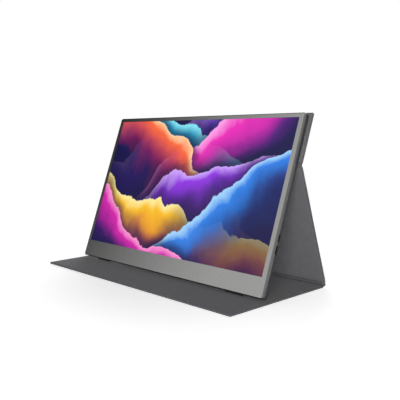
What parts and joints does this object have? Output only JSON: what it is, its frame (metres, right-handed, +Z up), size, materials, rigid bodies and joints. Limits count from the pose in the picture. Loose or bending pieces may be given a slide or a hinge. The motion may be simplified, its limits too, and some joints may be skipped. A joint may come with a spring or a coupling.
{
  "type": "portable monitor with cover",
  "caption": "Thin flat portable monitor standing on its own folding leathercloth cover, with sockets in one side and buttons in the other.",
  "frame": {"origin": "on the table, under the middle of the whole object's box", "axes": "+X to the right across the screen as a viewer in front sees it, +Y from the viewer towards the back, +Z up"},
  "size_m": [0.3684, 0.1762, 0.2166],
  "materials": {
    "anodised_frame": "fine blasted, dark silver anodised",
    "painted_shell": "matt dark grey",
    "gasket_foam": "matt black foam",
    "lit_glass": "bright picture under smooth glass",
    "diffuser_film": "milky white film",
    "clear_guide": "clear acrylic",
    "lamp_strip": "white strip with yellow lamps",
    "pressed_steel": "bright pressed sheet",
    "circuit_board": "green solder mask",
    "chip_resin": "moulded black resin",
    "screw_steel": "plated",
    "button_cap": "satin dark grey",
    "ribbon_film": "amber film",
    "plated_magnet": "nickel plated",
    "foot_rubber": "matt black",
    "leathercloth": "fine grained dark grey coated cloth",
    "greyboard": "pressed board",
    "microfibre": "short soft grey nap"
  },
  "bodies": {
    "floor_flap": {"flap_skin": "leathercloth", "flap_board": "greyboard", "flap_lining": "microfibre", "rear_gusset": "leathercloth"},
    "strut": {"strut_skin": "leathercloth", "strut_board": "greyboard", "strut_lining": "microfibre", "top_crease": "leathercloth"},
    "attach_panel": {"attach_skin": "leathercloth", "attach_board": "greyboard", "attach_lining": "microfibre", "attach_magnets": "plated_magnet"},
    "monitor": {"front_frame": "anodised_frame", "rear_shell": "painted_shell", "screen_gasket": "gasket_foam", "lcd_glass": "lit_glass", "diffuser_films": "diffuser_film", "light_guide": "clear_guide", "reflector_sheet": "diffuser_film", "led_strip": "lamp_strip", "panel_chassis": "pressed_steel", "panel_board": "circuit_board", "main_board": "circuit_board", "board_chips": "chip_resin", "board_screws": "screw_steel", "usb_c_socket": "pressed_steel", "mini_hdmi_socket": "pressed_steel", "headphone_jack": "chip_resin", "button_board": "circuit_board", "tact_switches": "chip_resin", "left_speaker": "chip_resin", "right_speaker": "chip_resin", "display_ribbon": "ribbon_film", "button_ribbon": "ribbon_film", "catch_magnets": "plated_magnet", "rubber_feet": "foot_rubber"},
    "power_button": {"power_button": "button_cap"},
    "menu_rocker": {"menu_rocker": "button_cap"}
  },
  "joints": [
    {"name": "stand_fold", "type": "hinge", "parent": "floor_flap", "child": "strut", "pos_m": [0, 0.09277, 0.00275], "axis": [1, 0, 0], "range_deg": [-19.7, 10], "deforming": ["rear_gusset"]},
    {"name": "top_fold", "type": "hinge", "parent": "strut", "child": "attach_panel", "pos_m": [0, 0.03392, 0.155], "axis": [1, 0, 0], "range_deg": [-20, 39.4], "deforming": ["top_crease"]},
    {"name": "monitor_release", "type": "slide", "parent": "attach_panel", "child": "monitor", "axis": [0, 0.3437, 0.9391], "range_m": [0, 0.06]},
    {"name": "power_press", "type": "slide", "parent": "monitor", "child": "power_button", "axis": [1, 0, 0], "range_m": [0, 0.0004], "stiffness_N_per_m": 1500, "springref_m": -0.0003},
    {"name": "rocker_tilt", "type": "hinge", "parent": "monitor", "child": "menu_rocker", "pos_m": [-0.1797, -0.00675, 0.05637], "axis": [0, 0.9391, -0.3437], "range_deg": [-2.5, 2.5], "stiffness_Nm_per_rad": 0.05}
  ],
  "couplings": [
    {"joint": "top_fold", "follows": "stand_fold", "ratio": -2}
  ]
}
